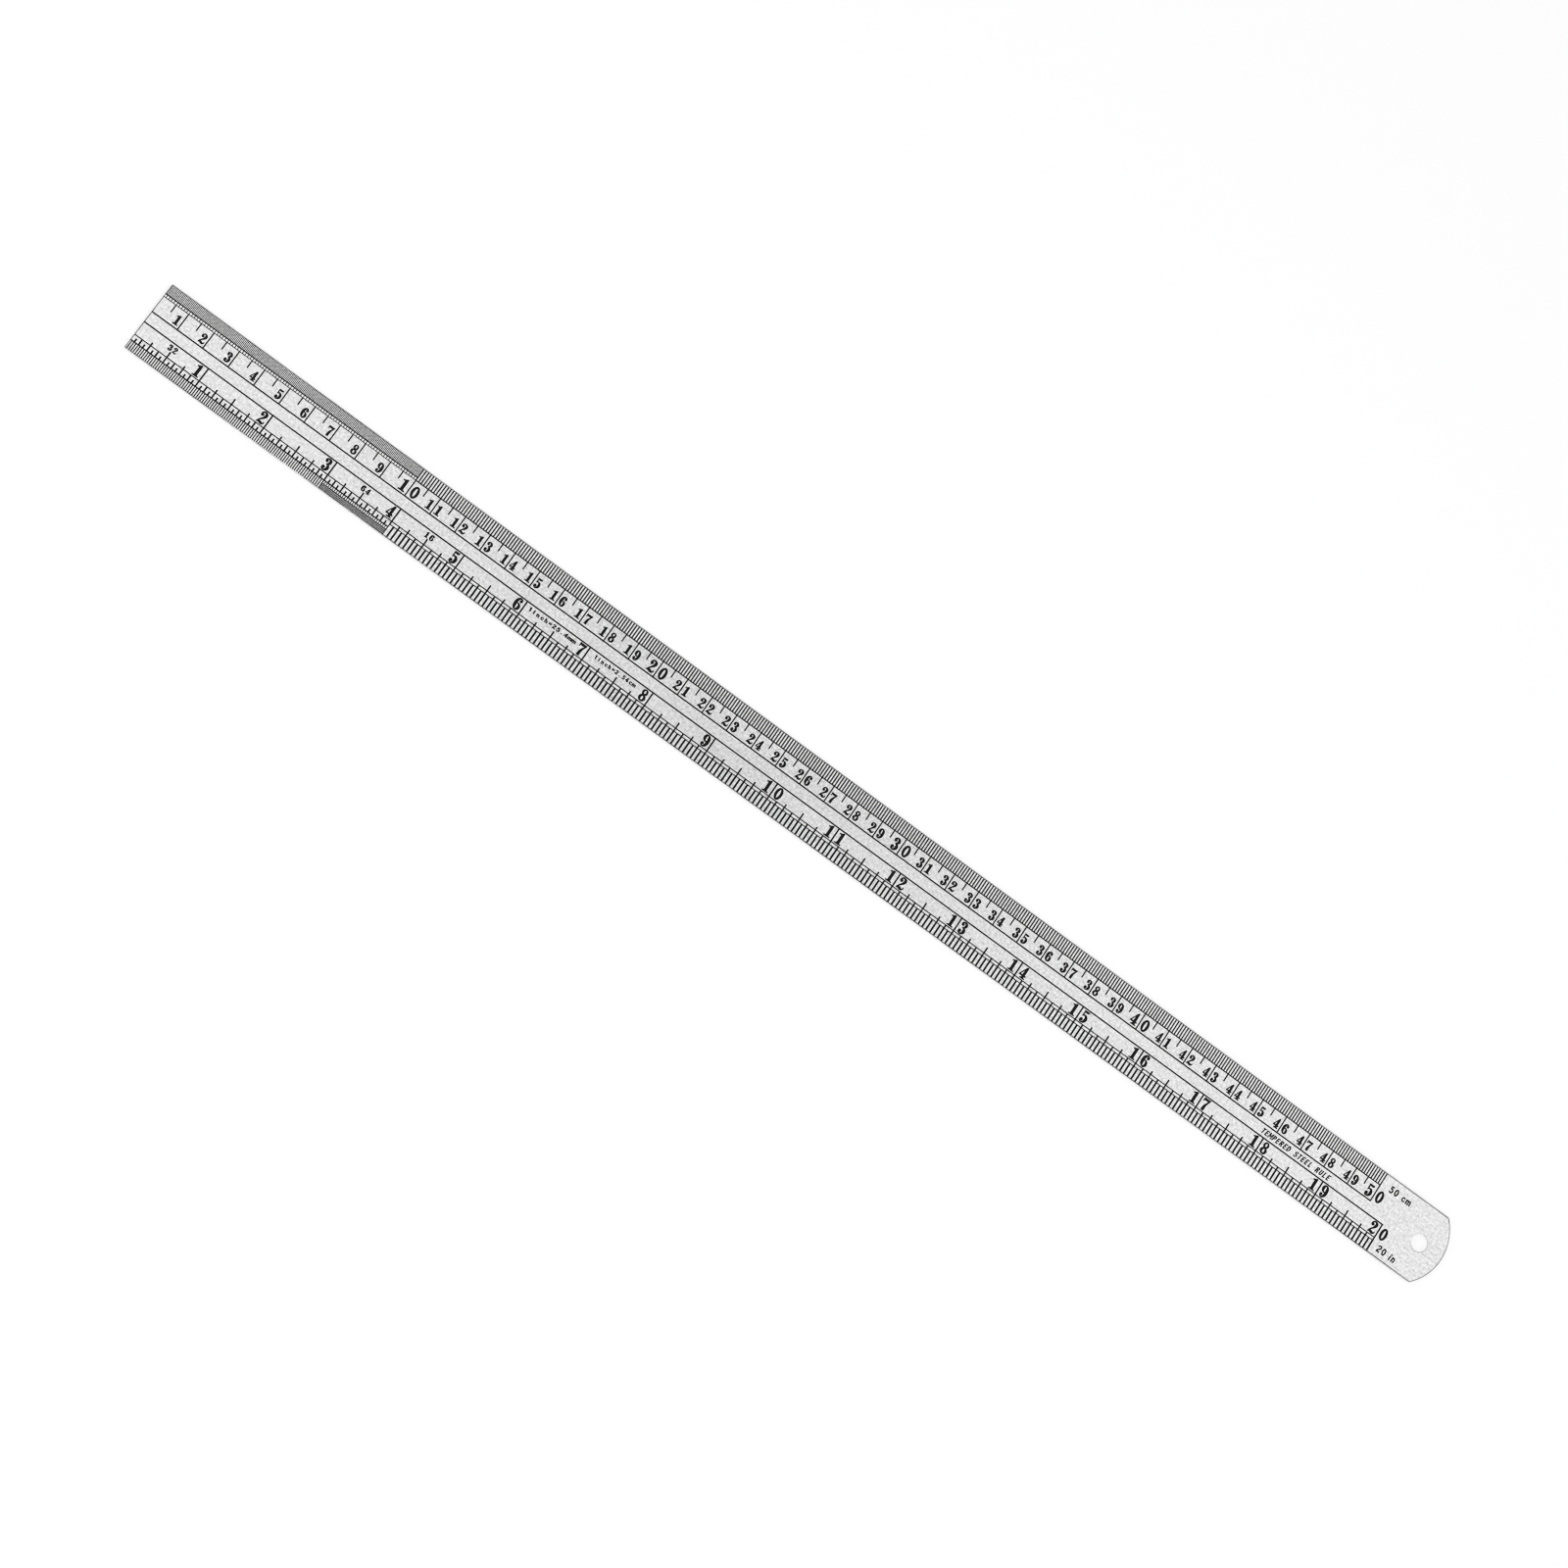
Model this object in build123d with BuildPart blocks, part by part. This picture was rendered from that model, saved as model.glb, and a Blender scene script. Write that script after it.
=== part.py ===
from build123d import *
import math
import os

# Steel ruler, 50 cm / 20 in.
# One flat spring-steel strip with a square zero end, a rounded far end and a
# hang hole.  Every graduation, long line and numeral is a thin coat of baked
# black enamel on the upper face, each mark a separate body of its own.
#
# Frame: millimetres, +Z up, origin at the centre of the underside.
#   +X  from the square zero end to the rounded end with the hole
#   +Y  towards the edge that carries the metric scale
# Along the blade the scales are laid out by u, the distance from the zero
# end, and across it by v, the distance from the metric edge.

# ---------------------------------------------------------------- dimensions
blade_length = 532.0      # square end to the crown of the rounded end
blade_width = 26.0
blade_thickness = 1.0
end_radius = 18.2         # large arc that closes the far end
corner_blend = 0.8        # where that arc meets the long edges
zero_corner_blend = 0.25  # barely eased corners of the zero end
arris = 0.08              # eased arris on every outer edge
hole_diameter = 6.5
hole_from_tip = 9.6       # hole centre to the crown of the rounded end

mark_thickness = 0.04     # coat of enamel that makes every mark
edge_land = 0.12          # land left between a graduation and the blade edge

metric_length = 500.0     # 50 cm scale
fine_metric_length = 100.0  # part divided in half millimetres
inch = 25.4
inch_count = 20
inch_length = inch * inch_count
start_32nds, start_64ths, start_16ths = 0.0, 3 * inch, 4 * inch

# long lines: v of the centre line and line width
v_half_mm_line, w_half_mm_line = 3.76, 0.40
v_mm_line, w_mm_line, w_mm_line_fine = 4.84, 0.41, 0.27
v_metric_guide, w_metric_guide = 11.22, 0.48
v_inch_guide, w_inch_guide = 15.43, 0.48
v_8th_line, w_8th_line = 20.60, 0.36
v_16th_line, w_16th_line = 21.74, 0.32
v_32nd_line, w_32nd_line = 22.78, 0.42
v_64th_line, w_64th_line = 23.90, 0.26

# graduation widths
w_half_mm, w_mm_fine, w_mm, w_5mm, w_cm = 0.25, 0.27, 0.45, 0.45, 0.45
w_64th, w_32nd_in_64ths, w_32nd = 0.29, 0.29, 0.37
w_16th, w_16th_upper = 0.64, 0.58
w_quarter, w_half_inch, w_inch = 0.54, 0.54, 0.54

# where the graduations that pass the last long line stop
v_5mm_end = 7.75
v_16th_end = 21.45
v_quarter_end = 19.40
v_half_inch_end = 18.40

# numerals
cm_numeral_height, v_cm_numeral_base = 3.45, 10.28
decade_numeral_height, v_decade_numeral_base = 4.25, 10.50
inch_numeral_height, v_inch_numeral_base = 4.22, 20.15
cm_numeral_gap = 0.66     # middle of the scale line to the near side of a digit
decade_numeral_gap = 0.82
inch_numeral_gap = 0.90
label_height, v_label_base = 2.00, 18.27
label_spread = 1.16       # the small division labels are set wide
unit_label_height = 2.40
mark_height, mark_pitch = 1.90, 1.535
note_height = 1.36

# how far every side of a character is let out to make it bolder
numeral_weight = 0.065
label_weight = 0.06
unit_label_weight = 0.08
mark_weight = 0.06
note_weight = 0.08

half_length = blade_length / 2
half_width = blade_width / 2
top = Plane.XY.offset(blade_thickness)


def at(u, v):
    """Scale position (u along the blade, v across it) to the part's X and Y."""
    return (u - half_length, half_width - v)


def bars(us, v0, v1):
    """Centres of the lines at every u that run from v0 to v1."""
    return [at(u, (v0 + v1) / 2) for u in us]


# ------------------------------------------------------------ numeral shapes
# Bold book numerals with slab feet and ball terminals, drawn on a body 62
# wide and 100 high.  "brush" is a stroke whose width swells along its path,
# "oval" a filled ellipse, "eye" an ellipse taken away, "block" and "nick"
# the straight-sided equivalents.
def turned(shapes):
    """The same shapes turned half a turn on the 62 x 100 body."""
    result = []
    for kind, data in shapes:
        if kind in ("oval", "eye"):
            x, y, rx, ry = data
            result.append((kind, (62 - x, 100 - y, rx, ry)))
        elif kind in ("block", "nick"):
            result.append((kind, [(62 - x, 100 - y) for x, y in data]))
        else:
            result.append((kind, [(62 - x, 100 - y, w) for x, y, w in data]))
    return result


book = {
    "0": [("oval", (31, 50, 30, 51)), ("eye", (31, 50, 11, 37))],
    "1": [("block", [(4, 0), (58, 0), (58, 7), (45, 10), (43, 17), (43, 101),
                     (34, 101), (21, 92), (5, 88), (5, 80), (20, 81), (20, 17),
                     (18, 10), (4, 7)])],
    "2": [("oval", (15, 72, 12, 12)),
          ("brush", [(6, 73, 5), (8, 85, 8), (19, 96, 10), (33, 97, 12),
                     (44, 89, 19), (47, 76, 22), (42, 61, 18), (29, 43, 11),
                     (15, 25, 9), (8, 11, 9)]),
          ("brush", [(4, 4, 9), (13, 12, 14), (25, 13, 19), (41, 8, 20),
                     (53, 11, 13), (59, 27, 5)])],
    "3": [("oval", (15, 77, 11, 11)), ("oval", (16, 22, 12, 12)),
          ("brush", [(7, 77, 5), (9, 90, 8), (21, 97, 10), (34, 96, 14),
                     (44, 85, 20), (44, 71, 20), (37, 59, 13), (25, 53, 9)]),
          ("brush", [(25, 53, 9), (40, 49, 15), (48, 36, 22), (47, 19, 22),
                     (37, 6, 14), (24, 2, 10), (10, 8, 8), (7, 20, 5)])],
    "4": [("block", [(37, 101), (50, 101), (50, 31), (61, 31), (61, 21),
                     (50, 21), (50, 14), (52, 8), (61, 7), (61, 0), (18, 0),
                     (18, 7), (27, 8), (29, 14), (29, 21), (1, 21), (1, 28)]),
          ("nick", [(11, 31), (29, 31), (29, 69)])],
    "5": [("block", [(9, 100), (17, 98), (17, 56), (9, 48)]),
          ("oval", (16, 21, 12, 12)),
          ("brush", [(11, 94, 8), (24, 92, 15), (38, 91, 17), (52, 97, 7)]),
          ("brush", [(11, 50, 6), (21, 60, 9), (33, 61, 13), (44, 52, 19),
                     (49, 34, 23), (44, 16, 20), (33, 5, 13), (21, 1, 9),
                     (9, 7, 7), (7, 19, 5)])],
    "6": [("oval", (45, 79, 11, 11)),
          ("brush", [(53, 79, 5), (50, 91, 8), (38, 98, 9), (25, 92, 15),
                     (15, 75, 21), (12, 50, 23), (15, 25, 21), (24, 7, 13),
                     (33, 2, 8)]),
          ("brush", [(33, 2, 8), (43, 7, 15), (50, 20, 20), (50, 36, 20),
                     (43, 50, 14), (33, 55, 9), (22, 49, 7)])],
    "7": [("block", [(2, 101), (9, 101), (11, 88), (6, 70), (1, 70)]),
          ("brush", [(4, 88, 11), (16, 91, 17), (33, 90, 18), (48, 93, 13),
                     (59, 100, 5)]),
          ("brush", [(58, 98, 6), (49, 79, 9), (39, 59, 14), (33, 37, 20),
                     (31, 16, 23), (31, 0, 23)])],
    "8": [("oval", (31, 75, 24, 26)), ("oval", (31, 27, 29, 28)),
          ("eye", (31, 77, 9, 15)), ("eye", (31, 27, 10, 17))],
}
book["9"] = turned(book["6"])

# Plain even-stroke letters and figures for the small labels.
plain = {
    "0": (62, [("oval", (30, 50, 29, 51)), ("eye", (30, 50, 14, 35))]),
    "1": (46, [("block", [(18, 0), (34, 0), (34, 100), (22, 100), (4, 84),
                          (8, 72), (18, 79)])]),
    "2": (62, [("brush", [(7, 74, 14), (14, 89, 15), (30, 94, 15),
                          (45, 87, 15), (49, 71, 15), (39, 52, 15),
                          (22, 30, 15), (10, 9, 15)]),
               ("block", [(3, 0), (56, 0), (56, 14), (3, 14)])]),
    "3": (62, [("brush", [(7, 80, 14), (18, 92, 15), (32, 94, 15),
                          (45, 85, 15), (45, 66, 15), (35, 55, 15),
                          (24, 53, 15)]),
               ("brush", [(24, 53, 15), (40, 50, 15), (50, 34, 15),
                          (48, 17, 15), (36, 6, 15), (20, 6, 15),
                          (6, 20, 14)])]),
    "4": (66, [("block", [(36, 100), (48, 100), (48, 36), (60, 36), (60, 22),
                          (48, 22), (48, 0), (33, 0), (33, 22), (0, 22),
                          (0, 35)]),
               ("nick", [(15, 36), (33, 36), (33, 74)])]),
    "5": (62, [("block", [(12, 100), (52, 100), (52, 86), (25, 86), (23, 60),
                          (9, 54)]),
               ("brush", [(13, 54, 14), (27, 61, 15), (42, 54, 15),
                          (50, 36, 15), (47, 17, 15), (34, 6, 15),
                          (19, 7, 15), (5, 20, 14)])]),
    "6": (62, [("oval", (30, 32, 28, 33)), ("eye", (30, 32, 13, 18)),
               ("brush", [(50, 89, 14), (37, 92, 15), (21, 78, 15),
                          (11, 55, 15), (9.5, 34, 15)])]),
    "=": (62, [("block", [(4, 58), (54, 58), (54, 71), (4, 71)]),
               ("block", [(4, 29), (54, 29), (54, 42), (4, 42)])]),
    ".": (26, [("oval", (10, 8, 9, 9))]),
    " ": (36, []),
    "S": (64, [("brush", [(52, 79, 14), (43, 91, 15), (30, 94, 15),
                          (16, 89, 15), (9, 77, 15), (14, 62, 16),
                          (29, 53, 17), (44, 45, 16), (51, 31, 15),
                          (47, 15, 15), (36, 7, 15), (24, 6, 15),
                          (13, 10, 15), (6, 21, 14)])]),
    "T": (60, [("block", [(0, 100), (54, 100), (54, 86), (35, 86), (35, 0),
                          (19, 0), (19, 86), (0, 86)])]),
    "U": (64, [("brush", [(8, 100, 16), (8, 60, 16), (10, 28, 16),
                          (17, 12, 16), (28, 7, 15), (39, 12, 16),
                          (46, 28, 16), (48, 60, 16), (48, 100, 16)])]),
    "M": (78, [("block", [(0, 0), (0, 100), (17, 100), (36, 48), (55, 100),
                          (72, 100), (72, 0), (57, 0), (57, 62), (42, 22),
                          (30, 22), (15, 62), (15, 0)])]),
    "P": (62, [("block", [(0, 0), (0, 100), (18, 100), (18, 0)]),
               ("brush", [(14, 92, 16), (31, 92, 16), (45, 84, 16),
                          (48, 70, 17), (43, 55, 16), (30, 47, 16),
                          (14, 47, 16)])]),
    "L": (54, [("block", [(0, 0), (0, 100), (16, 100), (16, 14), (47, 14),
                          (47, 0)])]),
    "E": (58, [("block", [(0, 0), (0, 100), (50, 100), (50, 86), (16, 86),
                          (16, 58), (44, 58), (44, 44), (16, 44), (16, 14),
                          (50, 14), (50, 0)])]),
    "R": (66, [("block", [(0, 0), (0, 100), (18, 100), (18, 0)]),
               ("brush", [(14, 92, 16), (32, 92, 16), (45, 84, 16),
                          (47, 71, 17), (41, 58, 16), (29, 53, 16),
                          (14, 53, 16)]),
               ("block", [(24, 48), (42, 48), (60, 0), (41, 0)])]),
    "D": (66, [("block", [(0, 0), (0, 100), (18, 100), (18, 0)]),
               ("brush", [(12, 92, 16), (29, 91, 16), (42, 80, 17),
                          (49, 62, 18), (50, 50, 18), (49, 38, 18),
                          (42, 20, 17), (29, 9, 16), (12, 8, 16)])]),
    "c": (52, [("brush", [(46, 51, 12), (38, 60, 13), (26, 62, 13),
                          (13, 54, 13), (8, 36, 13), (11, 17, 13),
                          (23, 6, 13), (36, 7, 13), (46, 18, 12)])]),
    "m": (84, [("block", [(0, 0), (14, 0), (14, 67), (0, 67)]),
               ("brush", [(6, 46, 11), (17, 58, 13), (30, 60, 13),
                          (38, 49, 13), (38, 26, 13), (38, 0, 13)]),
               ("brush", [(36, 44, 11), (48, 58, 13), (61, 60, 13),
                          (69, 49, 13), (69, 26, 13), (69, 0, 13)])]),
    "i": (22, [("block", [(0, 0), (14, 0), (14, 67), (0, 67)]),
               ("oval", (7, 87, 9, 9))]),
    "h": (54, [("block", [(0, 0), (14, 0), (14, 100), (0, 100)]),
               ("brush", [(6, 45, 11), (18, 58, 13), (31, 60, 13),
                          (40, 50, 13), (41, 26, 13), (41, 0, 13)])]),
    "n": (54, [("block", [(0, 0), (14, 0), (14, 67), (0, 67)]),
               ("brush", [(6, 45, 11), (18, 58, 13), (31, 60, 13),
                          (40, 50, 13), (41, 26, 13), (41, 0, 13)])]),
}


def brush_sides(path):
    """Left and right side of a swelling stroke."""
    left, right = [], []
    for i, (x, y, w) in enumerate(path):
        x0, y0, _ = path[max(i - 1, 0)]
        x1, y1, _ = path[min(i + 1, len(path) - 1)]
        run = math.hypot(x1 - x0, y1 - y0)
        nx, ny = -(y1 - y0) / run, (x1 - x0) / run
        left.append((x + nx * w / 2, y + ny * w / 2))
        right.append((x - nx * w / 2, y - ny * w / 2))
    return left, right


def let_out(corners, e):
    """A straight-sided outline with every side moved outwards by e."""
    count = len(corners)
    ring = corners + corners[:1]
    turning = sum(x0 * y1 - x1 * y0
                  for (x0, y0), (x1, y1) in zip(ring, ring[1:]))
    if turning < 0:
        e = -e
    result = []
    for i, (x, y) in enumerate(corners):
        x0, y0 = corners[i - 1]
        x1, y1 = corners[(i + 1) % count]
        a = math.atan2(y - y0, x - x0)
        b = math.atan2(y1 - y, x1 - x)
        k = e / max(1 + math.cos(a - b), 0.4)
        result.append((x + (math.sin(a) + math.sin(b)) * k,
                       y - (math.cos(a) + math.cos(b)) * k))
    return result


def bolder(shapes, e):
    """The same shapes with every side let out by e."""
    result = []
    for kind, data in shapes:
        if kind == "oval":
            x, y, rx, ry = data
            data = (x, y, rx + e, ry + e)
        elif kind == "eye":
            x, y, rx, ry = data
            data = (x, y, rx - e, ry - e)
        elif kind == "block":
            data = let_out(data, e)
        elif kind == "nick":
            data = let_out(data, -e)
        else:
            ends = []
            for (x, y, w), (x1, y1, _) in ((data[0], data[1]),
                                           (data[-1], data[-2])):
                run = math.hypot(x - x1, y - y1)
                ends.append((x + (x - x1) * e / run, y + (y - y1) * e / run,
                             w + 2 * e))
            data = ([ends[0]] + [(x, y, w + 2 * e) for x, y, w in data[1:-1]]
                    + [ends[1]])
        result.append((kind, data))
    return result


def character(shapes, height, weight, slant=0.0, spread=1.0):
    """One numeral or letter, its left foot at the origin, `height` tall.

    Every side is let out by `weight` to make the character bolder.
    """
    s = height / 100
    shapes = bolder(shapes, weight / s)

    def p(x, y):
        return ((x * spread + slant * y) * s, y * s)

    with BuildSketch() as shape:
        for kind, data in shapes:
            if kind == "brush":
                left, right = brush_sides(data)
                with BuildLine():
                    near = Spline(*[p(*q) for q in left])
                    far = Spline(*[p(*q) for q in reversed(right)])
                    Line(near @ 1, far @ 0)
                    Line(far @ 1, near @ 0)
                make_face()
            elif kind == "block":
                with BuildLine():
                    Polyline(*[p(*q) for q in data], close=True)
                make_face()
            elif kind == "oval":
                x, y, rx, ry = data
                with Locations(p(x, y)):
                    Ellipse(rx * spread * s, ry * s)
        for kind, data in shapes:
            if kind == "eye":
                x, y, rx, ry = data
                with Locations(p(x, y)):
                    Ellipse(rx * spread * s, ry * s, mode=Mode.SUBTRACT)
            elif kind == "nick":
                with BuildLine():
                    Polyline(*[p(*q) for q in data], close=True)
                make_face(mode=Mode.SUBTRACT)
    return shape.sketch


book_body = 0.62          # body width of a book numeral per unit of height


def numeral_places(count, pitch, height, base_v, gap, keep):
    """For each digit, the places where it stands on a numbered scale.

    One-figure numbers stand to the left of their line; two-figure numbers
    straddle it, one figure on each side.
    """
    places = {}
    width = book_body * height
    for k in range(1, count + 1):
        if not keep(k):
            continue
        text = str(k)
        u = k * pitch
        left = at(u - gap - width, base_v)
        right = at(u + gap, base_v)
        places.setdefault(text[0], []).append(left)
        if len(text) == 2:
            places.setdefault(text[1], []).append(right)
    return places


# --------------------------------------------------------- metric graduations
fine_mm = [k for k in range(1, 100) if k % 5]
coarse_mm = [k for k in range(101, 500) if k % 5]
five_mm_fine = [k for k in range(5, 100, 10)]
five_mm_coarse = [k for k in range(105, 500, 10)]
cm_fine = [k for k in range(10, 100, 10)]
cm_coarse = [k for k in range(100, 501, 10)]

v_half_mm_top = v_half_mm_line - w_half_mm_line / 2
v_half_mm_bottom = v_half_mm_line + w_half_mm_line / 2
v_mm_top = v_mm_line - w_mm_line / 2
v_mm_bottom = v_mm_line + w_mm_line / 2
v_mm_top_fine = v_mm_line - w_mm_line_fine / 2
v_mm_bottom_fine = v_mm_line + w_mm_line_fine / 2
v_guide_top = v_metric_guide - w_metric_guide / 2


def ticks(us, width, v0, v1):
    """Parallel lines of one width, at every u, running from v0 to v1."""
    with Locations(*bars(us, v0, v1)):
        Rectangle(width, abs(v1 - v0))


def long_line(u0, u1, v, width):
    """A line along the blade from u0 to u1."""
    with Locations(at((u0 + u1) / 2, v)):
        Rectangle(u1 - u0, width)


# half-millimetre lines of the first decimetre
with BuildPart() as metric_half_mm_lines:
    with BuildSketch(top):
        ticks([k + 0.5 for k in range(0, 100)], w_half_mm,
              edge_land, v_half_mm_top)
    extrude(amount=mark_thickness)

# millimetre lines; in the first decimetre they cross the half-mm long line
with BuildPart() as metric_mm_lines:
    with BuildSketch(top):
        ticks(fine_mm, w_mm_fine, edge_land, v_half_mm_top)
        ticks(fine_mm, w_mm_fine, v_half_mm_bottom, v_mm_top_fine)
        ticks(coarse_mm, w_mm, edge_land, v_mm_top)
    extrude(amount=mark_thickness)

# five-millimetre lines
with BuildPart() as metric_5mm_lines:
    with BuildSketch(top):
        ticks(five_mm_fine, w_mm_fine, edge_land, v_half_mm_top)
        ticks(five_mm_fine, w_mm_fine, v_half_mm_bottom, v_mm_top_fine)
        ticks(five_mm_fine, w_5mm, v_mm_bottom_fine, v_5mm_end)
        ticks(five_mm_coarse, w_5mm, edge_land, v_mm_top)
        ticks(five_mm_coarse, w_5mm, v_mm_bottom, v_5mm_end)
    extrude(amount=mark_thickness)

# centimetre lines, down to the metric guide line
with BuildPart() as metric_cm_lines:
    with BuildSketch(top):
        ticks(cm_fine, w_mm_fine, edge_land, v_half_mm_top)
        ticks(cm_fine, w_mm_fine, v_half_mm_bottom, v_mm_top_fine)
        ticks(cm_fine, w_cm, v_mm_bottom_fine, v_guide_top)
        ticks(cm_coarse, w_cm, edge_land, v_mm_top)
        ticks(cm_coarse, w_cm, v_mm_bottom, v_guide_top)
    extrude(amount=mark_thickness)

# the two long lines that close the half-millimetre and millimetre rows
with BuildPart() as metric_row_lines:
    with BuildSketch(top):
        long_line(0.12, fine_metric_length - w_cm / 2,
                  v_half_mm_line, w_half_mm_line)
        long_line(0.12, fine_metric_length - w_cm / 2,
                  v_mm_line, w_mm_line_fine)
        long_line(fine_metric_length - w_cm / 2, metric_length + w_cm / 2,
                  v_mm_line, w_mm_line)
    extrude(amount=mark_thickness)

# guide line under the centimetre numerals
with BuildPart() as metric_guide_line:
    with BuildSketch(top):
        long_line(0.12, metric_length + w_cm / 2, v_metric_guide,
                  w_metric_guide)
    extrude(amount=mark_thickness)

# ----------------------------------------------------------- inch graduations
sixteenth = inch / 16
edge_v = blade_width - edge_land
v_8_top = v_8th_line - w_8th_line / 2
v_8_bottom = v_8th_line + w_8th_line / 2
v_16_top = v_16th_line - w_16th_line / 2
v_16_bottom = v_16th_line + w_16th_line / 2
v_32_top = v_32nd_line - w_32nd_line / 2
v_32_bottom = v_32nd_line + w_32nd_line / 2
v_64_top = v_64th_line - w_64th_line / 2
v_64_bottom = v_64th_line + w_64th_line / 2
v_inch_guide_bottom = v_inch_guide + w_inch_guide / 2


def odd(step, u0, u1):
    """Odd multiples of `step` between u0 and u1."""
    n0, n1 = round(u0 / step), round(u1 / step)
    return [k * step for k in range(n0, n1 + 1) if k % 2 and 0 < k * step < u1]


def rows(step, upper, v_end):
    """The pieces of a graduation in each zone of the inch scale.

    Every line is broken where it crosses a long line: below it the zone's
    edge row, above it a slightly finer line up to v_end.
    """
    us32 = odd(step, start_32nds, start_64ths)
    us64 = odd(step, start_64ths, start_16ths)
    us16 = odd(step, start_16ths, inch_length)
    ticks(us32, w_32nd, v_32_bottom, edge_v)
    ticks(us64, w_32nd_in_64ths, v_64_bottom, edge_v)
    ticks(us64, w_32nd_in_64ths, v_32_bottom, v_64_top)
    ticks(us16, w_16th, v_16_bottom, edge_v)
    low = max(v_end, v_8_bottom)
    ticks(us32 + us64, upper, low, v_32_top)
    if v_end < v_16_top:
        ticks(us16, upper, low, v_16_top)
    if v_end < v_8_top:
        ticks(us32 + us64 + us16, upper, v_end, v_8_top)


# sixty-fourths of the fourth inch
with BuildPart() as inch_64th_lines:
    with BuildSketch(top):
        ticks(odd(inch / 64, start_64ths, start_16ths), w_64th,
              v_64_bottom, edge_v)
    extrude(amount=mark_thickness)

# thirty-seconds of the first four inches
with BuildPart() as inch_32nd_lines:
    with BuildSketch(top):
        ticks(odd(inch / 32, start_32nds, start_64ths), w_32nd,
              v_32_bottom, edge_v)
        ticks(odd(inch / 32, start_64ths, start_16ths), w_32nd_in_64ths,
              v_64_bottom, edge_v)
        ticks(odd(inch / 32, start_64ths, start_16ths), w_32nd_in_64ths,
              v_32_bottom, v_64_top)
    extrude(amount=mark_thickness)

# sixteenths
with BuildPart() as inch_16th_lines:
    with BuildSketch(top):
        us = odd(inch / 16, 0, start_16ths)
        ticks(odd(inch / 16, 0, start_64ths), w_32nd, v_32_bottom, edge_v)
        ticks(odd(inch / 16, start_64ths, start_16ths), w_32nd_in_64ths,
              v_64_bottom, edge_v)
        ticks(odd(inch / 16, start_64ths, start_16ths), w_32nd_in_64ths,
              v_32_bottom, v_64_top)
        ticks(us, w_16th_upper, v_16th_end, v_32_top)
        ticks(odd(inch / 16, start_16ths, inch_length), w_16th,
              v_16_bottom, edge_v)
    extrude(amount=mark_thickness)

# eighths, quarters and halves
with BuildPart() as inch_8th_lines:
    with BuildSketch(top):
        rows(inch / 8, w_16th_upper, v_8_bottom)
    extrude(amount=mark_thickness)

with BuildPart() as inch_quarter_lines:
    with BuildSketch(top):
        rows(inch / 4, w_quarter, v_quarter_end)
    extrude(amount=mark_thickness)

with BuildPart() as inch_half_lines:
    with BuildSketch(top):
        rows(inch / 2, w_half_inch, v_half_inch_end)
    extrude(amount=mark_thickness)

# whole inches, up to the inch guide line
with BuildPart() as inch_whole_lines:
    with BuildSketch(top):
        ticks([inch, 2 * inch], w_32nd, v_32_bottom, edge_v)
        ticks([3 * inch], w_32nd, v_32_bottom, edge_v)
        ticks([inch, 2 * inch, 3 * inch], w_inch, v_8_bottom, v_32_top)
        coarse = [k * inch for k in range(4, inch_count + 1)]
        ticks(coarse[:1], w_32nd, v_16_bottom, edge_v)
        ticks(coarse[1:], w_16th, v_16_bottom, edge_v)
        ticks(coarse, w_inch, v_8_bottom, v_16_top)
        ticks([k * inch for k in range(1, inch_count + 1)], w_inch,
              v_inch_guide_bottom, v_8_top)
    extrude(amount=mark_thickness)

# long lines that close the 64th, 32nd, 16th and 8th rows
with BuildPart() as inch_row_lines:
    with BuildSketch(top):
        long_line(0.12, inch_length + w_inch / 2, v_8th_line, w_8th_line)
        long_line(start_16ths - w_inch / 2, inch_length + w_16th / 2,
                  v_16th_line, w_16th_line)
        long_line(0.12, start_16ths - w_32nd / 2, v_32nd_line, w_32nd_line)
        long_line(start_64ths + w_32nd / 2, start_16ths - w_32nd / 2,
                  v_64th_line, w_64th_line)
    extrude(amount=mark_thickness)

# guide line over the inch numerals
with BuildPart() as inch_guide_line:
    with BuildSketch(top):
        long_line(0.12, inch_length + w_inch / 2, v_inch_guide, w_inch_guide)
    extrude(amount=mark_thickness)


# -------------------------------------------------------------------- numbers
def set_numerals(places, height):
    """Stand each book numeral at all of its places on the current sketch."""
    for digit, spots in places.items():
        glyph = character(book[digit], height, numeral_weight)
        with Locations(*spots):
            add(glyph)


def set_text(text, u, v_base, height, weight, slant=0.0, spacing=0.0,
             pitch=None, spread=1.0):
    """Plain lettering that starts at u with its foot at v_base.

    With a pitch every character is centred in a cell of that width.
    """
    for c in text:
        advance, shapes = plain[c]
        width = advance * spread * height / 100
        start = u + (pitch - width) / 2 if pitch else u
        if shapes:
            with Locations(at(start, v_base)):
                add(character(shapes, height, weight, slant, spread))
        u += pitch if pitch else width + spacing


# centimetre numerals 1 to 49
with BuildPart() as metric_numerals:
    with BuildSketch(top):
        set_numerals(numeral_places(50, 10.0, cm_numeral_height,
                                    v_cm_numeral_base, cm_numeral_gap,
                                    lambda k: k % 10 != 0),
                     cm_numeral_height)
    extrude(amount=mark_thickness)

# the larger 10, 20, 30, 40 and 50
with BuildPart() as metric_decade_numerals:
    with BuildSketch(top):
        set_numerals(numeral_places(50, 10.0, decade_numeral_height,
                                    v_decade_numeral_base, decade_numeral_gap,
                                    lambda k: k % 10 == 0),
                     decade_numeral_height)
    extrude(amount=mark_thickness)

# inch numerals 1 to 20
with BuildPart() as inch_numerals:
    with BuildSketch(top):
        set_numerals(numeral_places(20, inch, inch_numeral_height,
                                    v_inch_numeral_base, inch_numeral_gap,
                                    lambda k: True),
                     inch_numeral_height)
    extrude(amount=mark_thickness)

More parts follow.
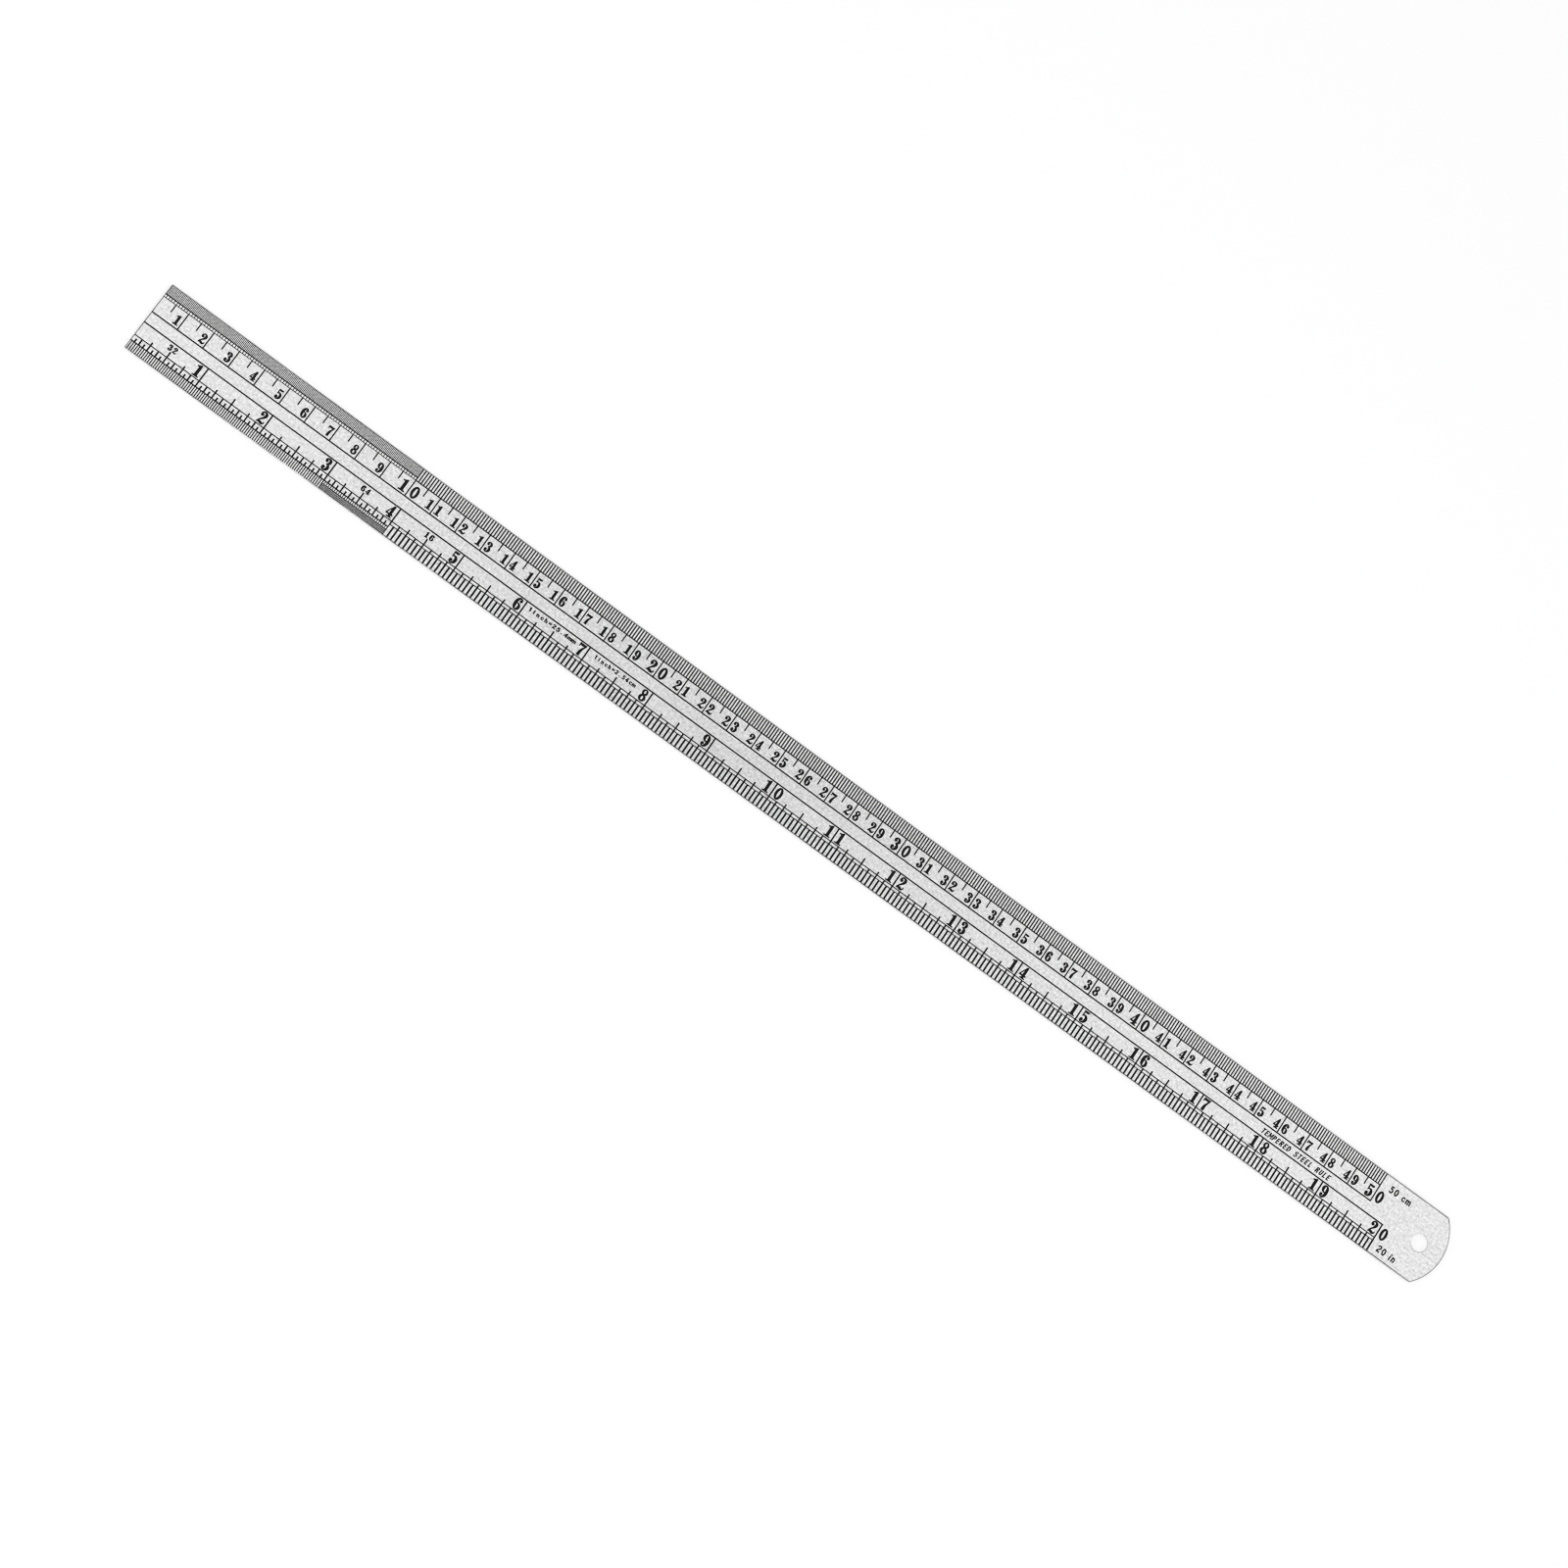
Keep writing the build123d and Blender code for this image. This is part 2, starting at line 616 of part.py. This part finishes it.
# 32, 64 and 16 over the half-inch lines name each zone's division
with BuildPart() as inch_division_labels:
    with BuildSketch(top):
        label_width = book_body * label_spread * label_height
        for label, u in (("32", 0.5 * inch), ("64", 3.5 * inch),
                         ("16", 4.5 * inch)):
            for digit, start in ((label[0], u - 0.20 - label_width),
                                 (label[1], u + 0.20)):
                with Locations(at(start, v_label_base)):
                    add(character(book[digit], label_height, label_weight,
                                  spread=label_spread))
    extrude(amount=mark_thickness)

# unit labels after the last line of each scale
with BuildPart() as metric_unit_label:
    with BuildSketch(top):
        set_text("50 cm", 503.65, 4.95, unit_label_height, unit_label_weight,
                 spacing=0.48)
    extrude(amount=mark_thickness)

with BuildPart() as inch_unit_label:
    with BuildSketch(top):
        set_text("20 in", 510.7, 24.05, unit_label_height,
                 unit_label_weight, slant=0.12, spacing=0.48)
    extrude(amount=mark_thickness)

# material mark between the two guide lines
with BuildPart() as material_mark:
    with BuildSketch(top):
        set_text("TEMPERED STEEL RULE", 454.9, 14.35, mark_height,
                 mark_weight, slant=0.22, pitch=mark_pitch)
    extrude(amount=mark_thickness)

# small unit conversions after the 6th and 7th inch lines
with BuildPart() as conversion_notes:
    with BuildSketch(top):
        set_text("1inch=25.4mm", 153.9, 17.76, note_height, note_weight,
                 pitch=1.60, spread=1.40)
        set_text("1inch=2.54cm", 180.4, 17.76, note_height, note_weight,
                 pitch=1.41, spread=1.20)
    extrude(amount=mark_thickness)

marks = {
    "metric_half_mm_lines": metric_half_mm_lines,
    "metric_mm_lines": metric_mm_lines,
    "metric_5mm_lines": metric_5mm_lines,
    "metric_cm_lines": metric_cm_lines,
    "metric_row_lines": metric_row_lines,
    "metric_guide_line": metric_guide_line,
    "inch_64th_lines": inch_64th_lines,
    "inch_32nd_lines": inch_32nd_lines,
    "inch_16th_lines": inch_16th_lines,
    "inch_8th_lines": inch_8th_lines,
    "inch_quarter_lines": inch_quarter_lines,
    "inch_half_lines": inch_half_lines,
    "inch_whole_lines": inch_whole_lines,
    "inch_row_lines": inch_row_lines,
    "inch_guide_line": inch_guide_line,
    "metric_numerals": metric_numerals,
    "metric_decade_numerals": metric_decade_numerals,
    "inch_numerals": inch_numerals,
    "inch_division_labels": inch_division_labels,
    "metric_unit_label": metric_unit_label,
    "inch_unit_label": inch_unit_label,
    "material_mark": material_mark,
    "conversion_notes": conversion_notes,
}

# ---------------------------------------------------------------------- blade
arc_centre_x = half_length - end_radius
arc_corner_x = arc_centre_x + math.sqrt(end_radius ** 2 - half_width ** 2)
hole_x = half_length - hole_from_tip

with BuildPart() as blade:
    with BuildSketch(Plane.XY) as blade_outline:
        with BuildLine():
            crown = (half_length, 0)
            Polyline((arc_corner_x, -half_width), (-half_length, -half_width),
                     (-half_length, half_width), (arc_corner_x, half_width))
            ThreePointArc((arc_corner_x, half_width), crown,
                          (arc_corner_x, -half_width))
        make_face()
        fillet(blade_outline.vertices().group_by(Axis.X)[-1],
               radius=corner_blend)
        fillet(blade_outline.vertices().group_by(Axis.X)[0],
               radius=zero_corner_blend)
    extrude(amount=blade_thickness)
    chamfer(blade.faces().sort_by(Axis.Z)[-1].edges()
            + blade.faces().sort_by(Axis.Z)[0].edges(), length=arris)
    with Locations(Location((hole_x, 0, blade_thickness))):
        Hole(radius=hole_diameter / 2)

# ---------------------------------------------------------------------- files
os.makedirs("parts", exist_ok=True)
blade.part.label = "blade"
export_step(blade.part, "parts/blade.step", write_pcurves=False)
for name, mark in marks.items():
    mark.part.label = name
    export_step(mark.part, "parts/" + name + ".step",
                write_pcurves=False)
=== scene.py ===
import math

import bmesh
import bpy
from mathutils import Matrix, Vector


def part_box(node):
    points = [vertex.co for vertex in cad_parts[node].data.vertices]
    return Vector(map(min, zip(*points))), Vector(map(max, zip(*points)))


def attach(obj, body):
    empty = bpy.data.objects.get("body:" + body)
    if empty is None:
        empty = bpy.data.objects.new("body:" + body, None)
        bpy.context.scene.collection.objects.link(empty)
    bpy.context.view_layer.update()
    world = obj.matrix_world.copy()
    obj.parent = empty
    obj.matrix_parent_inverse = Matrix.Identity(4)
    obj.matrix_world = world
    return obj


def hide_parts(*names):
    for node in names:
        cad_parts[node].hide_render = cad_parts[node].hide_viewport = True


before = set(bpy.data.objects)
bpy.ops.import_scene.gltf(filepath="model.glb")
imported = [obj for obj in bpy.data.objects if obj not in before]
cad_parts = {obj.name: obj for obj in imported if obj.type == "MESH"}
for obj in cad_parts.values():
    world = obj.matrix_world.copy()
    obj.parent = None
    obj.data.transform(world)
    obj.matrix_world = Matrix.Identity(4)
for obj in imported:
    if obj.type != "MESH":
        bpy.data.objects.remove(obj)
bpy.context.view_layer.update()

MM = 0.001

low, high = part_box("blade")
HALF_L = (high.x - low.x) / 2
HALF_W = (high.y - low.y) / 2
T = high.z - low.z


# ------------------------------------------------------------------ materials
def new_material(name):
    mat = bpy.data.materials.new(name)
    mat.use_nodes = True
    tree = mat.node_tree
    tree.nodes.clear()
    out = tree.nodes.new("ShaderNodeOutputMaterial")
    bsdf = tree.nodes.new("ShaderNodeBsdfPrincipled")
    tree.links.new(bsdf.outputs["BSDF"], out.inputs["Surface"])
    return mat, tree, bsdf


def node(tree, kind, **settings):
    n = tree.nodes.new(kind)
    for key, value in settings.items():
        setattr(n, key, value)
    return n


def noise(tree, coords, scale, detail=3.0, rough=0.55, stretch=(1, 1, 1)):
    mapping = node(tree, "ShaderNodeMapping")
    mapping.inputs["Scale"].default_value = stretch
    tree.links.new(coords, mapping.inputs["Vector"])
    tex = node(tree, "ShaderNodeTexNoise")
    tex.inputs["Scale"].default_value = scale
    tex.inputs["Detail"].default_value = detail
    tex.inputs["Roughness"].default_value = rough
    tree.links.new(mapping.outputs["Vector"], tex.inputs["Vector"])
    return tex.outputs["Fac"]


def remap(tree, value, a, b, c, d, smooth=True):
    m = node(tree, "ShaderNodeMapRange")
    m.interpolation_type = "SMOOTHSTEP" if smooth else "LINEAR"
    m.inputs["From Min"].default_value = a
    m.inputs["From Max"].default_value = b
    m.inputs["To Min"].default_value = c
    m.inputs["To Max"].default_value = d
    tree.links.new(value, m.inputs["Value"])
    return m.outputs["Result"]


def calc(tree, op, a, b=None, clamp=False):
    m = node(tree, "ShaderNodeMath", operation=op, use_clamp=clamp)
    for i, v in enumerate((a, b)):
        if v is None:
            continue
        if isinstance(v, (int, float)):
            m.inputs[i].default_value = v
        else:
            tree.links.new(v, m.inputs[i])
    return m.outputs["Value"]


def blend_colours(tree, fac, a, b):
    m = node(tree, "ShaderNodeMix", data_type="RGBA")
    tree.links.new(fac, m.inputs["Factor"])
    for key, v in (("A", a), ("B", b)):
        sock = [s for s in m.inputs if s.name == key and s.type == "RGBA"][0]
        if isinstance(v, tuple):
            sock.default_value = v
        else:
            tree.links.new(v, sock)
    return [s for s in m.outputs if s.type == "RGBA"][0]


def steel_material(name, tone=0.80, grain=1.0, lengthwise=True):
    """Satin stainless: rolled grain along the blade, fine blasted tooth,
    faint handling marks, a glossier near-black painted outline (painted shade) round
    the flats, and side faces painted darker as shade."""
    mat, tree, bsdf = new_material(name)
    coords = node(tree, "ShaderNodeTexCoord").outputs["Object"]
    along = (1.0, 26.0, 26.0) if lengthwise else (26.0, 1.0, 26.0)

    tooth = noise(tree, coords, 2300.0, 4.0, 0.65)
    mottle = noise(tree, coords, 1050.0, 3.0, 0.6)
    hair = noise(tree, coords, 120.0, 5.0, 0.7, along)
    lines = noise(tree, coords, 34.0, 3.0, 0.6, along)
    cloud = noise(tree, coords, 24.0, 3.0, 0.5)
    smear = noise(tree, coords, 60.0, 4.0, 0.6, (0.6, 1.6, 1.6))

    # value variation of the metal itself
    v = calc(tree, "MULTIPLY", calc(tree, "SUBTRACT", tooth, 0.5), 0.68 * grain)
    v = calc(tree, "ADD", v, calc(tree, "MULTIPLY",
                                  calc(tree, "SUBTRACT", mottle, 0.5), 1.52 * grain))
    v = calc(tree, "ADD", v, calc(tree, "MULTIPLY",
                                  calc(tree, "SUBTRACT", hair, 0.5), 0.50 * grain))
    v = calc(tree, "ADD", v, calc(tree, "MULTIPLY",
                                  calc(tree, "SUBTRACT", lines, 0.5), 0.07))
    v = calc(tree, "ADD", v, calc(tree, "MULTIPLY",
                                  calc(tree, "SUBTRACT", cloud, 0.5), 0.045))
    v = calc(tree, "ADD", v, 0.5, clamp=True)
    dark = (tone * 0.60, tone * 0.60, tone * 0.60, 1.0)
    light = (min(tone * 1.40, 1.0),) * 3 + (1.0,)
    base = blend_colours(tree, v, dark, light)

    # narrow near-black band painted along the blade's outline, as painted shade for
    # the arris's dark reflection
    # and the contact shadow: distance to the long edges, to the zero end and to the
    # end arc
    sep = node(tree, "ShaderNodeSeparateXYZ")
    tree.links.new(coords, sep.inputs["Vector"])
    x, y = sep.outputs["X"], sep.outputs["Y"]
    outline_shade_width = OUTLINE_SHADE_MM * MM
    ay = calc(tree, "ABSOLUTE", y)
    edge = remap(tree, ay, HALF_W - outline_shade_width * 1.25, HALF_W - outline_shade_width * 0.75, 0.0, 1.0)
    zero = remap(tree, x, -HALF_L + outline_shade_width * 0.75, -HALF_L + outline_shade_width * 1.25, 1.0, 0.0)
    dx = calc(tree, "SUBTRACT", x, HALF_L - END_R)
    radius = calc(tree, "SQRT", calc(tree, "ADD", calc(tree, "MULTIPLY", dx, dx),
                                     calc(tree, "MULTIPLY", y, y)))
    crown = remap(tree, radius, END_R - outline_shade_width * 1.25, END_R - outline_shade_width * 0.75, 0.0, 1.0)
    crown = calc(tree, "MULTIPLY", crown, calc(tree, "GREATER_THAN", dx, 0.0))
    edge = calc(tree, "MAXIMUM", edge, calc(tree, "MAXIMUM", zero, crown))
    # strength of the painted dark outline, varied along it by the smear noise
    outline_shade_strength = remap(tree, smear, 0.36, 0.64, 0.70, 0.98)
    # the outline band is blended to near-black: painted shade for the arris's dark
    # reflection and the contact shadow
    base_with_painted_shade = blend_colours(tree, calc(tree, "MULTIPLY", edge, outline_shade_strength), base,
                         (0.055, 0.055, 0.055, 1.0))

    # sheared and ground side faces: grinding streaks, and a tone darker than the flats
    # that is painted shade for faces turned sideways
    geo = node(tree, "ShaderNodeNewGeometry")
    nrm = node(tree, "ShaderNodeSeparateXYZ")
    tree.links.new(geo.outputs["Normal"], nrm.inputs["Vector"])
    side_shade_mask = remap(tree, calc(tree, "ABSOLUTE", nrm.outputs["Z"]), 0.15, 0.60, 1.0, 0.0)
    ground = noise(tree, coords, 900.0, 3.0, 0.6, (1.0, 1.0, 0.12))
    side_shade_tone = blend_colours(tree, ground, (0.42, 0.42, 0.42, 1.0),
                              (0.85, 0.85, 0.85, 1.0))
    # faces turned sideways take the darker painted-shade tone
    base_with_painted_shade = blend_colours(tree, side_shade_mask, base_with_painted_shade, side_shade_tone)
    tree.links.new(base_with_painted_shade, bsdf.inputs["Base Color"])
    bsdf.inputs["Metallic"].default_value = 1.0

    r = calc(tree, "MULTIPLY", calc(tree, "SUBTRACT", smear, 0.5), 0.16)
    r = calc(tree, "ADD", r, calc(tree, "MULTIPLY",
                                  calc(tree, "SUBTRACT", tooth, 0.5), 0.12))
    r = calc(tree, "ADD", r, 0.36)
    r = calc(tree, "SUBTRACT", r, calc(tree, "MULTIPLY", edge, 0.12), clamp=True)
    tree.links.new(r, bsdf.inputs["Roughness"])

    height = calc(tree, "ADD", calc(tree, "MULTIPLY", tooth, 0.6),
                  calc(tree, "MULTIPLY", hair, 0.8))
    bump = node(tree, "ShaderNodeBump")
    bump.inputs["Strength"].default_value = 0.10
    bump.inputs["Distance"].default_value = 0.02 * MM
    tree.links.new(height, bump.inputs["Height"])
    tree.links.new(bump.outputs["Normal"], bsdf.inputs["Normal"])
    return mat


def enamel_material(name, tone=0.0045, gloss=0.48):
    """Baked black enamel: slightly uneven gloss and depth, thin where it has
    been rubbed along the blade's edges."""
    mat, tree, bsdf = new_material(name)
    coords = node(tree, "ShaderNodeTexCoord").outputs["Object"]
    fine = noise(tree, coords, 2600.0, 3.0, 0.6)
    patch = noise(tree, coords, 420.0, 3.0, 0.6)
    wide = noise(tree, coords, 40.0, 2.0, 0.5)
    v = calc(tree, "ADD", calc(tree, "MULTIPLY", fine, 0.35),
             calc(tree, "MULTIPLY", patch, 0.45))
    v = calc(tree, "ADD", v, calc(tree, "MULTIPLY", wide, 0.2), clamp=True)
    v = remap(tree, v, 0.32, 0.72, 0.0, 1.0)
    base = blend_colours(tree, v, (tone * 0.55,) * 3 + (1.0,),
                         (tone * 1.9,) * 3 + (1.0,))
    sep = node(tree, "ShaderNodeSeparateXYZ")
    tree.links.new(coords, sep.inputs["Vector"])
    ay = calc(tree, "ABSOLUTE", sep.outputs["Y"])
    edge = remap(tree, ay, HALF_W - 0.75 * MM, HALF_W - 0.15 * MM, 0.0, 1.0)
    rub = calc(tree, "MULTIPLY", edge, remap(tree, patch, 0.50, 0.70, 0.0, 1.0))
    base = blend_colours(tree, calc(tree, "MULTIPLY", rub, 0.30), base,
                         (0.30, 0.30, 0.30, 1.0))
    tree.links.new(base, bsdf.inputs["Base Color"])
    r = calc(tree, "ADD", calc(tree, "MULTIPLY",
                               calc(tree, "SUBTRACT", patch, 0.5), 0.22), gloss)
    r = calc(tree, "ADD", r, calc(tree, "MULTIPLY",
                                  calc(tree, "SUBTRACT", fine, 0.5), 0.10),
             clamp=True)
    tree.links.new(r, bsdf.inputs["Roughness"])
    bsdf.inputs["Specular IOR Level"].default_value = 0.10
    bump = node(tree, "ShaderNodeBump")
    bump.inputs["Strength"].default_value = 0.15
    bump.inputs["Distance"].default_value = 0.01 * MM
    tree.links.new(fine, bump.inputs["Height"])
    tree.links.new(bump.outputs["Normal"], bsdf.inputs["Normal"])
    return mat


END_R = 18.2 * MM
OUTLINE_SHADE_MM = 0.32             # mm, width of the near-black painted outline (painted shade) round the flats
STEEL = steel_material("satin_stainless")
ENAMEL = enamel_material("black_enamel")


# ---------------------------------------------------------------- blade piece
BLEND = 0.8 * MM
ZERO_BLEND = 0.25 * MM
HOLE_R = 3.25 * MM
HOLE_X = HALF_L - 9.6 * MM
ARRIS = 0.20 * MM


def arc(cx, cy, r, a0, a1, n):
    return [(cx + r * math.cos(a0 + (a1 - a0) * i / n),
             cy + r * math.sin(a0 + (a1 - a0) * i / n)) for i in range(n + 1)]


def outline(inset):
    """Blade outline, counter-clockwise, moved inwards by inset."""
    hw = HALF_W - inset
    hl = HALF_L - inset
    R = END_R - inset
    cx = HALF_L - END_R
    # fillet between the long edge y = hw and the end arc
    b = max(BLEND - inset, 0.05 * MM)
    fy = hw - b
    fx = cx + math.sqrt((R - b) ** 2 - fy ** 2)
    meet = math.atan2(fy, fx - cx)
    z = max(ZERO_BLEND - inset, 0.05 * MM)
    pts = []
    x0 = -hl
    # lower long edge, left to right, broken into short runs
    runs = 48
    xs = [x0 + z + (fx - (x0 + z)) * i / runs for i in range(runs + 1)]
    pts += [(x, -hw) for x in xs[:-1]]
    pts += arc(fx, -fy, b, -math.pi / 2, -meet, 8)[:-1]
    pts += arc(cx, 0.0, R, -meet, meet, 72)
    pts += arc(fx, fy, b, meet, math.pi / 2, 8)[1:]
    pts += [(x, hw) for x in reversed(xs[:-1])]
    pts += arc(x0 + z, hw - z, z, math.pi / 2, math.pi, 5)[1:]
    pts += arc(x0 + z, -(hw - z), z, math.pi, 1.5 * math.pi, 5)[:-1]
    return pts


def blade_mesh():
    bm = bmesh.new()
    steps = 4
    rings = []
    # lower arris, from the flat up to the side, then the upper arris
    for i in range(steps + 1):
        a = (math.pi / 2) * i / steps
        rings.append((ARRIS * (1 - math.sin(a)), ARRIS * (1 - math.cos(a))))
    for i in range(steps + 1):
        a = (math.pi / 2) * i / steps
        rings.append((ARRIS * (1 - math.cos(a)), T - ARRIS * (1 - math.sin(a))))
    loops = []
    for inset, z in rings:
        loops.append([bm.verts.new((x, y, z)) for x, y in outline(inset)])
    n = len(loops[0])
    for a, b in zip(loops, loops[1:]):
        for i in range(n):
            bm.faces.new((a[i], a[(i + 1) % n], b[(i + 1) % n], b[i]))
    hole_rings = []
    h = 0.07 * MM
    for i in range(steps + 1):
        a = (math.pi / 2) * i / steps
        hole_rings.append((HOLE_R + h * (1 - math.sin(a)), h * (1 - math.cos(a))))
    for i in range(steps + 1):
        a = (math.pi / 2) * i / steps
        hole_rings.append((HOLE_R + h * (1 - math.cos(a)), T - h * (1 - math.sin(a))))
    m = 96
    hl = []
    for r, z in hole_rings:
        hl.append([bm.verts.new((HOLE_X + r * math.cos(2 * math.pi * i / m),
                                 r * math.sin(2 * math.pi * i / m), z))
                   for i in range(m)])
    for a, b in zip(hl, hl[1:]):
        for i in range(m):
            bm.faces.new((a[i], b[i], b[(i + 1) % m], a[(i + 1) % m]))
    # flat faces with the hole in them
    for outer, inner, up in ((loops[-1], hl[-1], True), (loops[0], hl[0], False)):
        edges = []
        for ring in (outer, inner):
            k = len(ring)
            for i in range(k):
                e = bm.edges.get((ring[i], ring[(i + 1) % k]))
                edges.append(e)
        got = bmesh.ops.triangle_fill(bm, use_beauty=True, use_dissolve=False,
                                      edges=edges, normal=(0, 0, 1 if up else -1))
        faces = [g for g in got["geom"] if isinstance(g, bmesh.types.BMFace)]
        for f in faces:
            f.normal_update()
            if (f.normal.z > 0) != up:
                f.normal_flip()
    bm.normal_update()
    for f in bm.faces:
        f.smooth = abs(f.normal.z) < 0.9999
    mesh = bpy.data.meshes.new("blade_steel")
    bm.to_mesh(mesh)
    bm.free()
    return mesh


blade = bpy.data.objects.new("blade_steel", blade_mesh())
bpy.context.scene.collection.objects.link(blade)
blade.data.materials.append(STEEL)
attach(blade, "root")
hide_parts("blade")

for name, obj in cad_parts.items():
    if name == "blade":
        obj.data.materials.clear()
        obj.data.materials.append(STEEL)
        continue
    obj.data.materials.clear()
    obj.data.materials.append(ENAMEL)

# ----------------------------------------------------------------------- stage
bm = bmesh.new()
S = 6.0
bmesh.ops.create_grid(bm, x_segments=12, y_segments=12, size=S)
mesh = bpy.data.meshes.new("floor")
bm.to_mesh(mesh)
bm.free()
floor = bpy.data.objects.new("floor", mesh)
floor.location = (0, 0, -0.02 * MM)
bpy.context.scene.collection.objects.link(floor)
fmat, ftree, fb = new_material("floor_paper")
fb.inputs["Base Color"].default_value = (0.93, 0.93, 0.93, 1)
fb.inputs["Roughness"].default_value = 0.95
fb.inputs["Specular IOR Level"].default_value = 0.1
floor.data.materials.append(fmat)

HORIZON = 0.75
ZENITH = 0.10
OVERHEAD = 1.06
KEY = 38.0

# pale studio walls, dimmer ceiling behind the softboxes
world = bpy.data.worlds.new("studio")
bpy.context.scene.world = world
world.use_nodes = True
wtree = world.node_tree
wcoords = node(wtree, "ShaderNodeTexCoord").outputs["Generated"]
wsep = node(wtree, "ShaderNodeSeparateXYZ")
wtree.links.new(wcoords, wsep.inputs["Vector"])
level = remap(wtree, wsep.outputs["Z"], 0.50, 0.85, HORIZON, ZENITH)
wtree.links.new(level, wtree.nodes["Background"].inputs["Strength"])
wtree.nodes["Background"].inputs["Color"].default_value = (1, 1, 1, 1)


def area_light(name, place, target, size_x, size_y, radiance):
    """A rectangular softbox that shows the given radiance."""
    data = bpy.data.lights.new(name, "AREA")
    data.shape = "RECTANGLE"
    data.size = size_x
    data.size_y = size_y
    data.energy = radiance * math.pi * size_x * size_y
    light = bpy.data.objects.new(name, data)
    light.location = place
    direction = Vector(target) - Vector(place)
    light.rotation_euler = direction.to_track_quat("-Z", "Y").to_euler()
    bpy.context.scene.collection.objects.link(light)
    return light


# two overhead softboxes with a narrow gap between them, which leaves the
# middle of the blade a shade darker than its ends
area_light("overhead_left", (-0.80, 0.55, 2.4), (-0.80, 0.55, 0), 1.60, 3.0, OVERHEAD)
area_light("overhead_right", (1.31, 0.55, 2.4), (1.31, 0.55, 0), 1.98, 3.0, OVERHEAD)
# key from the inch side, for the thin shadow along the metric edge
area_light("key_softbox", (-0.45, -1.55, 2.8), (0, 0, 0), 0.6, 0.6, KEY)

# ---------------------------------------------------------------------- camera
cam_data = bpy.data.cameras.new("camera")
cam_data.sensor_width = 36.0
cam_data.sensor_fit = "HORIZONTAL"
cam_data.lens = 3656.16 / 1600 * 36.0
cam_data.clip_start = 0.05
cam_data.clip_end = 50
camera = bpy.data.objects.new("camera", cam_data)
right = Vector((0.80304015, 0.55679363, 0.21238495))
up = Vector((-0.5858316, 0.80291683, 0.11011762))
back = Vector((-0.10921466, -0.21285069, 0.97096176))
place = Vector((-0.13923, -0.25278, T + 1.14726))
camera.matrix_world = Matrix((
    (right.x, up.x, back.x, place.x),
    (right.y, up.y, back.y, place.y),
    (right.z, up.z, back.z, place.z),
    (0, 0, 0, 1)))
bpy.context.scene.collection.objects.link(camera)
bpy.context.scene.camera = camera

scene = bpy.context.scene
# a slightly crisper pixel filter, for the hairlines of the scales
scene.cycles.filter_width = 1.15
scene.view_settings.view_transform = "Standard"
scene.view_settings.look = "None"
scene.view_settings.exposure = 0.0
scene.view_settings.gamma = 1.0
